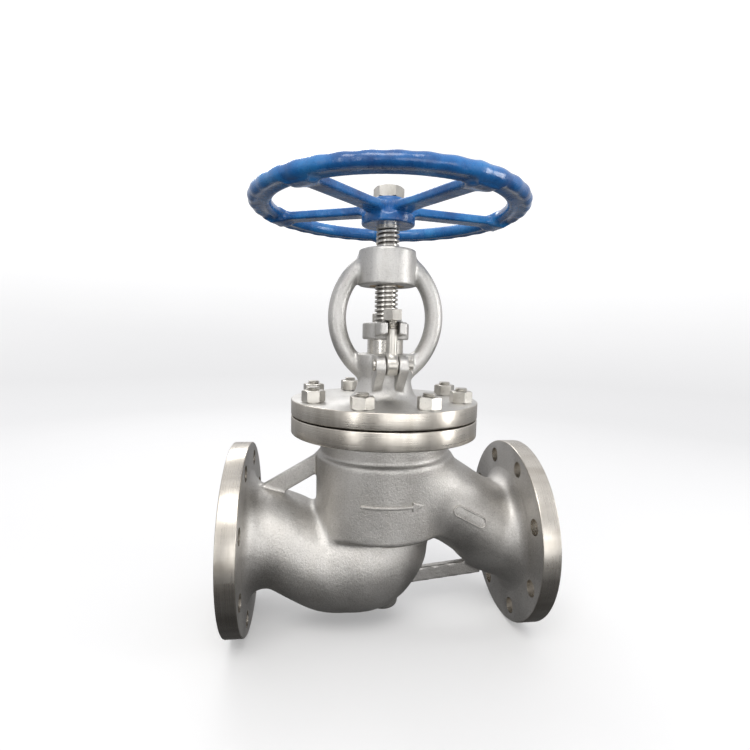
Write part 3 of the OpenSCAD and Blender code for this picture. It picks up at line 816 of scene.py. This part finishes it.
def build_eyebolt(name, side):
    centre = (AXIS_X, side * PIN_Y)

    def field(x, y, z):
        off = y - centre[1]
        eye = smooth_max(np.hypot(off, z - PIN_Z) - EYE_R, np.abs(x - AXIS_X) - EYE_HALF_W, 2.5)
        shank = np.hypot(x - AXIS_X, off) - SHANK_R
        shank = np.maximum(shank, np.maximum(PIN_Z - z, z - SHANK_TOP))
        return smooth_min(eye, shank, 3)

    bolt = surface_net(name, field, (165, centre[1] - 13, 189), (185, centre[1] + 13, 243), 0.8)
    thread = threaded_rod(
        "thread", EYEBOLT_THREAD_R, 0.95, 1.75, SHANK_TOP - 3, GLAND_NUT_HIGH[2], centre, VEE, 28
    )
    combine(bolt, [thread], "UNION")
    hole = lathe("hole", bar_outline(PIN_R + 0.08, -12, 12), "X", (AXIS_X, centre[1], PIN_Z), 40)
    combine(bolt, [hole], "DIFFERENCE")
    return finish_mesh(bolt)


def build_pin(name, side):
    """A clevis pin with a domed head; the rear one points the other way."""
    head, end = -FORK_HALF - PIN_HEAD_T, FORK_HALF + 2 * SPLIT_PIN_OUT
    shape = outline(
        (0, head), (PIN_HEAD_R, head, 1.2), (PIN_HEAD_R, -FORK_HALF, 0.3), (PIN_R, -FORK_HALF),
        (PIN_R, end, 0.8), (0, end),
    )
    if side > 0:
        shape = [(r, -x) for r, x in shape]
    pin = lathe(name, shape, "X", (AXIS_X, side * PIN_Y, PIN_Z), 40)
    hole_x = AXIS_X - side * (FORK_HALF + SPLIT_PIN_OUT)
    hole = lathe("hole", bar_outline(1.2, -10, 10), "Z", (hole_x, side * PIN_Y, PIN_Z), 16)
    combine(pin, [hole], "DIFFERENCE")
    return finish_mesh(pin)


def sweep(name, path, radius, sides=10):
    """A round wire along an open path."""
    path = np.array(path, float)
    tangents = np.gradient(path, axis=0)
    tangents /= np.linalg.norm(tangents, axis=1, keepdims=True)
    normal = np.cross(tangents[0], (0.3, 1, 0.2))
    points = []
    for p, t in zip(path, tangents):
        normal = normal - t * (normal @ t)
        normal /= np.linalg.norm(normal)
        other = np.cross(t, normal)
        for j in range(sides):
            a = 2 * math.pi * j / sides
            points.append(p + radius * (math.cos(a) * normal + math.sin(a) * other))
    faces = []
    for i in range(len(path) - 1):
        for j in range(sides):
            n = (j + 1) % sides
            faces.append((i * sides + j, i * sides + n, (i + 1) * sides + n, (i + 1) * sides + j))
    faces.append(tuple(range(sides - 1, -1, -1)))
    faces.append(tuple(range((len(path) - 1) * sides, len(path) * sides)))
    return mesh_object(name, points, faces)


def build_split_pin(name, side):
    """A split pin: an eye above the clevis pin and two legs through it, bent apart below."""
    x = AXIS_X - side * (FORK_HALF + SPLIT_PIN_OUT)
    y = side * PIN_Y
    wires = []
    for leg in (-1, 1):
        path = []
        for a in np.linspace(math.pi / 2, -0.55 * math.pi / 2, 9):
            path.append((x + leg * 2.0 * math.cos(a), y, PIN_Z + 7.4 + 2.0 * math.sin(a)))
        path += [(x + leg * 0.52, y, PIN_Z + z) for z in (4.6, 2, 0, -3, -5)]
        path += [(x + leg * (0.8 + 0.6 * s), y, PIN_Z - 5 - 1.0 * s) for s in (1, 2, 3, 4)]
        wires.append(sweep(f"leg_{leg}", path, 0.5))
    return finish_mesh(join(name, wires), 60)


# --- materials

def fill_ramp(ramp, stops):
    """Sets a colour ramp's stops, each a position and a colour."""
    while len(ramp.elements) < len(stops):
        ramp.elements.new(0.5)
    for element, (at, colour) in zip(ramp.elements, stops):
        element.position = at
        element.color = (*colour, 1)


class Shader:
    """A material's node tree with short calls for the nodes used here."""

    def __init__(self, name, metallic, roughness, colour):
        self.material = bpy.data.materials.new(name)
        self.material.use_nodes = True
        self.tree = self.material.node_tree
        self.surface = self.tree.nodes["Principled BSDF"]
        self.surface.inputs["Metallic"].default_value = metallic
        self.surface.inputs["Roughness"].default_value = roughness
        self.surface.inputs["Base Color"].default_value = (*colour, 1)
        self.place = self.node("TexCoord").outputs["Object"]

    def node(self, kind):
        return self.tree.nodes.new("ShaderNode" + kind)

    def link(self, source, target):
        self.tree.links.new(source, target)

    def split(self, vector):
        """The three parts of a vector."""
        node = self.node("SeparateXYZ")
        self.link(vector, node.inputs[0])
        return node.outputs

    def joined(self, *parts):
        """A vector of three values, each times its factor."""
        node = self.node("CombineXYZ")
        for socket, (value, factor) in zip(node.inputs, parts):
            self.link(self.math("MULTIPLY", value, factor), socket)
        return node.outputs[0]

    def weighted(self, a, share_a, b, share_b):
        return self.math("ADD", self.math("MULTIPLY", a, share_a), self.math("MULTIPLY", b, share_b))

    def math(self, operation, a, b=0.0):
        node = self.node("Math")
        node.operation = operation
        for socket, value in zip(node.inputs, (a, b)):
            if isinstance(value, (int, float)):
                socket.default_value = value
            else:
                self.link(value, socket)
        return node.outputs[0]

    def scaled(self, factors, shift=(0, 0, 0)):
        """The place in metres, shifted and then scaled along each axis."""
        add = self.node("VectorMath")
        add.operation = "ADD"
        add.inputs[1].default_value = shift
        self.link(self.place, add.inputs[0])
        times = self.node("VectorMath")
        times.operation = "MULTIPLY"
        times.inputs[1].default_value = factors
        self.link(add.outputs[0], times.inputs[0])
        return times.outputs[0]

    def noise(self, scale, detail=3.0, vector=None, rough=0.55):
        node = self.node("TexNoise")
        node.inputs["Scale"].default_value = scale
        node.inputs["Detail"].default_value = detail
        node.inputs["Roughness"].default_value = rough
        self.link(self.place if vector is None else vector, node.inputs["Vector"])
        return node.outputs["Fac"]

    def ramp(self, value, stops):
        node = self.node("ValToRGB")
        fill_ramp(node.color_ramp, [
            (at, colour if isinstance(colour, tuple) else (colour, colour, colour)) for at, colour in stops
        ])
        self.link(value, node.inputs[0])
        return node.outputs[0]

    def mix(self, factor, a, b):
        node = self.node("Mix")
        node.data_type = "RGBA"
        for socket, value in zip((node.inputs[0], node.inputs[6], node.inputs[7]), (factor, a, b)):
            if isinstance(value, tuple):
                socket.default_value = (*value, 1)
            elif isinstance(value, (int, float)):
                socket.default_value = value
            else:
                self.link(value, socket)
        return node.outputs[2]

    def bump(self, heights):
        """Chained bumps; each is (height, strength, depth in metres)."""
        normal = None
        for height, strength, depth in heights:
            node = self.node("Bump")
            node.inputs["Strength"].default_value = strength
            node.inputs["Distance"].default_value = depth
            self.link(height, node.inputs["Height"])
            if normal is not None:
                self.link(normal, node.inputs["Normal"])
            normal = node.outputs[0]
        self.link(normal, self.surface.inputs["Normal"])

    def colour(self, output):
        self.link(output, self.surface.inputs["Base Color"])

    def roughness(self, value, low, high):
        """Roughness from low to high as value goes from 0.3 to 0.7."""
        self.link(self.ramp(value, [(0.3, low), (0.7, high)]), self.surface.inputs["Roughness"])


def cast_steel(name, dark=(0.33, 0.315, 0.295), light=(0.52, 0.505, 0.48), grain=1.0):
    """Blasted stainless casting: soft mottling, a fine sandy grain and slightly uneven walls."""
    s = Shader(name, 0.92, 0.45, light)
    cloud = s.noise(14, 4)
    streak = s.noise(1, 3, s.scaled((60, 60, 22)))
    grit = s.noise(1100, 3)
    pits = s.noise(420, 2)
    speckle = s.noise(620, 3, rough=0.7)
    base = s.ramp(cloud, [(0.32, dark), (0.66, light)])
    base = s.mix(s.ramp(streak, [(0.45, 0.0), (0.75, 0.35)]), base, (0.40, 0.375, 0.34))
    base = s.mix(s.ramp(pits, [(0.25, 0.45), (0.42, 0.0)]), base, (0.22, 0.21, 0.195))
    base = s.mix(s.ramp(speckle, [(0.40, 0.0), (0.66, 0.40)]), base, (0.68, 0.665, 0.64))
    s.colour(base)
    s.roughness(s.weighted(cloud, 0.6, grit, 0.4), 0.36, 0.55)
    s.bump([
        (s.noise(38, 2), 0.35, 0.0012 * grain), (pits, 0.40, 0.0006 * grain), (grit, 0.55, 0.0004 * grain),
    ])
    return s.material


TOOL_LINES = 1500  # scale of the turning lines, per metre


def turned_steel(name, axis, centre, tone=(0.60, 0.565, 0.51), deep=(0.46, 0.425, 0.375), root_shade_and_grime=None):
    """Steel turned about an axis through centre. The last argument gives the radii over which it darkens inward:
    painted shade in the thread roots, mixed with some grime.
    """
    s = Shader(name, 1.0, 0.3, tone)
    x, y, z = s.split(s.scaled((1, 1, 1), tuple(-c for c in centre)))
    along, u, v = {"X": (x, y, z), "Z": (z, x, y)}[axis]
    radius = s.math("SQRT", s.math("ADD", s.math("MULTIPLY", u, u), s.math("MULTIPLY", v, v)))
    turn = s.math("ARCTAN2", v, u)
    lines = s.noise(1, 2, s.joined((along, TOOL_LINES), (radius, TOOL_LINES), (turn, 1.2)))
    shade = s.noise(1.6, 3, s.joined((turn, 4.0), (along, 8), (radius, 8)))
    stain = s.noise(30, 4)
    base = s.ramp(shade, [(0.35, deep), (0.62, tone)])
    base = s.mix(s.ramp(stain, [(0.5, 0.0), (0.72, 0.45)]), base, (0.42, 0.385, 0.33))
    # Painted shade: the colour darkens towards the thread roots, where shade falls, mixed with some grime.
    if root_shade_and_grime:
        depth = s.math("DIVIDE", s.math("SUBTRACT", radius, root_shade_and_grime[0]), root_shade_and_grime[1] - root_shade_and_grime[0])
        base = s.mix(s.ramp(depth, [(0.0, 0.85), (1.0, 0.0)]), base, (0.10, 0.09, 0.078))
    s.colour(base)
    s.roughness(s.weighted(lines, 0.5, stain, 0.5), 0.22, 0.38)
    s.bump([(lines, 0.35, 0.00022), (stain, 0.12, 0.0004)])
    return s.material


def bright_steel(name):
    """Bright stainless of the fasteners: faint rolling marks, small scuffs and a warm tint."""
    tone = (0.56, 0.54, 0.50)
    s = Shader(name, 1.0, 0.28, tone)
    cloud = s.noise(70, 4)
    marks = s.noise(1, 3, s.scaled((900, 900, 90)))
    scuffs = s.noise(260, 3)
    base = s.ramp(cloud, [(0.35, (0.46, 0.44, 0.40)), (0.6, tone)])
    base = s.mix(s.ramp(scuffs, [(0.3, 0.4), (0.42, 0.0)]), base, (0.33, 0.31, 0.28))
    s.colour(base)
    s.roughness(s.weighted(cloud, 0.5, marks, 0.5), 0.28, 0.42)
    s.bump([(marks, 0.18, 0.0002), (scuffs, 0.2, 0.00025)])
    return s.material


def blue_enamel(name):
    """Thick glossy blue paint on a rough casting: orange peel, runs, and paler rubbed patches."""
    s = Shader(name, 0.0, 0.24, (0.012, 0.115, 0.42))
    s.surface.inputs["Coat Weight"].default_value = 0.35
    s.surface.inputs["Coat Roughness"].default_value = 0.09
    patches = s.noise(30, 5)
    rubbed = s.noise(85, 4, rough=0.7)
    base = s.ramp(patches, [
        (0.30, (0.006, 0.055, 0.20)), (0.52, (0.010, 0.125, 0.37)), (0.74, (0.03, 0.21, 0.50)),
    ])
    base = s.mix(s.ramp(rubbed, [(0.60, 0.0), (0.75, 0.30)]), base, (0.10, 0.26, 0.48))
    s.colour(base)
    s.roughness(rubbed, 0.16, 0.40)
    s.bump([(s.noise(60, 3), 0.5, 0.0022), (s.noise(330, 2), 0.3, 0.0005)])
    return s.material


def bronze(name):
    """Turned bronze with a slight tarnish."""
    s = Shader(name, 1.0, 0.3, (0.60, 0.40, 0.17))
    tarnish = s.noise(120, 4)
    s.colour(s.ramp(tarnish, [(0.35, (0.34, 0.21, 0.09)), (0.62, (0.66, 0.45, 0.20))]))
    s.roughness(tarnish, 0.24, 0.46)
    s.bump([(s.noise(1, 2, s.scaled((40, 40, 1800))), 0.3, 0.0002)])
    return s.material


def graphite(name, weave=0.0):
    """Grey-black graphite; weave gives the packing its braid."""
    s = Shader(name, 0.25, 0.6, (0.035, 0.035, 0.038))
    flecks = s.noise(700, 3)
    s.colour(s.ramp(flecks, [(0.35, (0.02, 0.02, 0.022)), (0.68, (0.07, 0.07, 0.075))]))
    s.roughness(flecks, 0.45, 0.75)
    wave = s.node("TexWave")
    wave.wave_type = "BANDS"
    wave.bands_direction = "DIAGONAL"
    wave.inputs["Scale"].default_value = 160
    wave.inputs["Distortion"].default_value = 1.5
    s.link(s.place, wave.inputs["Vector"])
    s.bump([(flecks, 0.3, 0.0002), (wave.outputs["Fac"], weave, 0.0006)])
    return s.material


CENTRE = AXIS_X * MM
CAST = cast_steel("cast_steel")
CAST_FINE = cast_steel("cast_steel_yoke", (0.46, 0.45, 0.43), (0.60, 0.59, 0.57), 0.8)
TURNED_X = turned_steel("turned_steel_x", "X", (0, 0, 0))
TURNED_Z = turned_steel("turned_steel_z", "Z", (CENTRE, 0, 0))
# The stem's thread roots get painted shade, mixed with some grime, over the radii given last.
TURNED_STEM = turned_steel("turned_steel_stem", "Z", (CENTRE, 0, 0), (0.66, 0.64, 0.60), (0.50, 0.48, 0.44),
                           root_shade_and_grime=(0.0112, 0.0128))
BRIGHT = bright_steel("bright_steel")
PAINT = blue_enamel("blue_enamel")
BRONZE = bronze("bronze")
GASKET = graphite("graphite_sheet")
PACKING = graphite("graphite_braid", 0.6)


def dress(obj, materials, choose=None):
    """Gives a piece its materials; choose turns face centres in mm into material numbers."""
    obj.data.materials.clear()
    for material in materials:
        obj.data.materials.append(material)
    numbers = np.zeros(len(obj.data.polygons), np.int32)
    if choose is not None:
        centres = np.empty(len(obj.data.polygons) * 3, np.float32)
        obj.data.polygons.foreach_get("center", centres)
        numbers[:] = choose(centres.reshape(-1, 3) / MM)
    obj.data.polygons.foreach_set("material_index", numbers)
    obj.data.update()


def body_faces(c):
    """0 is cast, 1 is turned about X, 2 is turned about Z."""
    r_x = np.hypot(c[:, 1], c[:, 2])
    r_z = np.hypot(c[:, 0] - AXIS_X, c[:, 1])
    ends = np.minimum(c[:, 0], FACE_TO_FACE - c[:, 0])
    rim = (ends < END_FLANGE_T + 0.1) & (r_x > END_FLANGE_R - 1.1)
    face = ends < RAISED_FACE_H + 0.2
    bore = (ends < BORE_DEPTH + 0.2) & (np.abs(r_x - BORE_R) < 0.3)
    holes = (ends < END_FLANGE_T - 0.2) & (r_x > 62) & (r_x < 100)
    top = (c[:, 2] > BODY_FLANGE_BOTTOM + 0.1) & ((r_z > BONNET_FLANGE_R - 1.1) | (c[:, 2] > BODY_TOP - 0.2))
    inside = (r_z < CHAMBER_BORE_R + 0.2) & (r_z > CHAMBER_BORE_R - 0.4) & (c[:, 2] > 41)
    return np.where(rim | face | bore | holes, 1, np.where(top | inside, 2, 0))


def bonnet_faces(c):
    """0 is cast, 1 is turned."""
    r_z = np.hypot(c[:, 0] - AXIS_X, c[:, 1])
    rim = (r_z > BONNET_FLANGE_R - 1.1) & (c[:, 2] < BONNET_TOP + 0.1)
    below = c[:, 2] < BONNET_BOTTOM + 0.2
    bores = (r_z < STUFFING_BOX_R + 0.2) & (c[:, 2] < BOSS_TOP - 0.2)
    return np.where(rim | below | bores, 1, 0)


# --- assembly

def place(obj, body, nodes, materials=(BRIGHT,), choose=None):
    """Dresses a piece, puts it in place of its CAD nodes and ties it to its body."""
    dress(obj, materials, choose)
    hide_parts(*nodes)
    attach(obj, body)


place(build_body(), "valve_body", ["body"], [CAST, TURNED_X, TURNED_Z], body_faces)
place(build_bonnet(), "valve_body", ["bonnet"], [CAST_FINE, TURNED_Z], bonnet_faces)
place(build_wheel(), "stem_assembly", ["handwheel"], [PAINT])
place(build_wheel_nut(), "stem_assembly", ["handwheel_nut"])
place(build_stem(), "stem_assembly", ["stem"], [TURNED_STEM])
place(build_bonnet_nuts(), "valve_body", ["bonnet_nuts"])
place(build_studs(), "valve_body", ["bonnet_studs"])
place(build_gland_flange(), "gland", ["gland_flange"], [CAST_FINE])
for end, side in (("front", -1), ("rear", 1)):
    eyebolt = build_eyebolt(f"eyebolt_{end}_forged", side)
    place(eyebolt, f"{end}_eyebolt", [f"eyebolt_{end}"])
    gland_nut = nut(f"gland_nut_{end}_turned", GLAND_NUT_AF, GLAND_NUT_LOW[2], GLAND_NUT_HIGH[2],
                    (AXIS_X, side * PIN_Y), 20, 6.0)
    place(finish_mesh(gland_nut), f"{end}_gland_nut", [f"gland_nut_{end}"])
    place(build_pin(f"clevis_pin_{end}", side), "valve_body", [f"eyebolt_pin_{end}"])
    place(build_split_pin(f"cotter_{end}", side), "valve_body", [f"split_pin_{end}"])

CAD_FINISHES = {
    "seat_ring": TURNED_Z, "bonnet_gasket": GASKET, "back_seat_bush": TURNED_Z, "packing_base_ring": TURNED_Z,
    "packing_rings": PACKING, "gland_bush": TURNED_STEM, "stem_nut": BRONZE, "stem_nut_set_screw": BRIGHT,
    "disc": TURNED_Z, "disc_nut": TURNED_Z,
}
for node_name, finish in CAD_FINISHES.items():
    for material_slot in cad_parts[node_name].material_slots:
        material_slot.material = finish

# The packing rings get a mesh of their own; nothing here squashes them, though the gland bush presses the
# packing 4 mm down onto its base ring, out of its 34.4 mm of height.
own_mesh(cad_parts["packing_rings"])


# --- camera, floor and light

def look(location, yaw, pitch, roll):
    """Matrix of a camera at location; yaw turns it towards +X, pitch tilts it up, roll turns it clockwise."""
    forward = Vector((math.sin(yaw) * math.cos(pitch), math.cos(yaw) * math.cos(pitch), math.sin(pitch)))
    right = Vector((math.cos(yaw), -math.sin(yaw), 0))
    up = right.cross(forward)
    tilted_right = math.cos(roll) * right + math.sin(roll) * up
    tilted_up = math.cos(roll) * up - math.sin(roll) * right
    turn = Matrix((tilted_right, tilted_up, -forward)).transposed()
    return Matrix.Translation(Vector(location) * MM) @ turn.to_4x4()


camera_data = bpy.data.cameras.new("camera")
camera_data.lens = 22.13
camera_data.sensor_width = 36.0
camera_data.shift_x = 0.0011
camera_data.shift_y = 0.0173
camera_data.clip_start = 0.01
camera = add_object("camera", camera_data)
camera.matrix_world = look(location=(96.2, -529.2, 233.8), yaw=0.126, pitch=-0.113, roll=0.022)
bpy.context.scene.camera = camera


FLOOR_R, FLOOR_CURVE_R, WALL_TOP = 1.7, 1.1, 5.0  # metres


def pale_floor():
    """A pale round floor that curves up into a wall. It shows to the camera but lights nothing."""
    profile = [(0.02, 0.0), (FLOOR_R, 0.0)]
    profile += [
        (FLOOR_R + FLOOR_CURVE_R * math.sin(a), FLOOR_CURVE_R - FLOOR_CURVE_R * math.cos(a))
        for a in np.linspace(0.1, math.pi / 2, 16)
    ]
    profile += [(FLOOR_R + FLOOR_CURVE_R, WALL_TOP)]
    level = -END_FLANGE_R * MM - 0.0002
    sides = 96
    points, faces = [(AXIS_X, 0, level / MM)], []
    for i, (r, z) in enumerate(profile):
        for j in range(sides):
            a = 2 * math.pi * j / sides
            points.append((AXIS_X + r / MM * math.cos(a), r / MM * math.sin(a), (level + z) / MM))
            here, after = 1 + i * sides + j, 1 + i * sides + (j + 1) % sides
            faces.append((0, here, after) if i == 0 else (here - sides, here, after, after - sides))
    floor = mesh_object("floor", points, faces)
    floor.data.shade_smooth()
    s = Shader("pale_floor", 0.0, 0.7, (0.58, 0.58, 0.58))
    s.roughness(s.noise(3, 2), 0.6, 0.8)
    glow = s.ramp(s.split(s.place)[2], [(0.0, 0.2), (0.9, 0.72)])
    s.surface.inputs["Emission Color"].default_value = (1, 1, 1, 1)
    s.link(glow, s.surface.inputs["Emission Strength"])
    dress(floor, [s.material])
    floor.visible_diffuse = floor.visible_glossy = floor.visible_shadow = False
    floor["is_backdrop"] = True


def area_light(name, location, target, size, power, colour=(1, 1, 1)):
    """A rectangular light of the given power in watts, turned towards target."""
    light = bpy.data.lights.new(name, "AREA")
    light.shape = "RECTANGLE"
    light.size, light.size_y = size
    light.energy = power
    light.color = colour
    obj = add_object(name, light)
    obj.location = location
    obj.rotation_euler = (Vector(target) - Vector(location)).to_track_quat("-Z", "Y").to_euler()


def studio_world(stops):
    """Soft surrounding light whose strength runs with height: stops are (sine of elevation, strength)."""
    world = bpy.data.worlds.new("studio")
    bpy.context.scene.world = world
    world.use_nodes = True
    tree = world.node_tree
    split = tree.nodes.new("ShaderNodeSeparateXYZ")
    tree.links.new(tree.nodes.new("ShaderNodeTexCoord").outputs["Generated"], split.inputs[0])
    spread = tree.nodes.new("ShaderNodeMapRange")
    spread.inputs["From Min"].default_value = -1
    tree.links.new(split.outputs["Z"], spread.inputs["Value"])
    ramp = tree.nodes.new("ShaderNodeValToRGB")
    fill_ramp(ramp.color_ramp, [((height + 1) / 2, (w, w, w * 1.02)) for height, w in stops])
    tree.links.new(spread.outputs[0], ramp.inputs[0])
    tree.links.new(ramp.outputs[0], tree.nodes["Background"].inputs["Color"])


pale_floor()
MIDDLE = (CENTRE, 0, 0.13)
area_light("key", (-0.1, -1.15, 1.5), MIDDLE, (1.1, 0.7), 15, (1.0, 0.985, 0.96))
area_light("fill", (0.5, -1.45, 0.12), MIDDLE, (1.3, 0.6), 5.5)
area_light("left_strip", (-0.95, -1.3, 0.35), MIDDLE, (0.22, 1.2), 4.5)
area_light("right_strip", (1.75, -0.6, 0.35), MIDDLE, (0.25, 1.2), 10)
area_light("back", (-0.2, 1.3, 1.4), MIDDLE, (1.2, 0.6), 10)
studio_world([(-1.0, 0.05), (-0.6, 0.09), (-0.25, 0.27), (0.05, 0.66), (0.6, 0.85), (1.0, 1.0)])
bpy.context.scene.view_settings.view_transform = "Standard"

boxes = {"cad": cad_bounds, "visual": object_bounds()}
{key: [[round(float(v), 5) for v in corner] for corner in box] for key, box in boxes.items()}
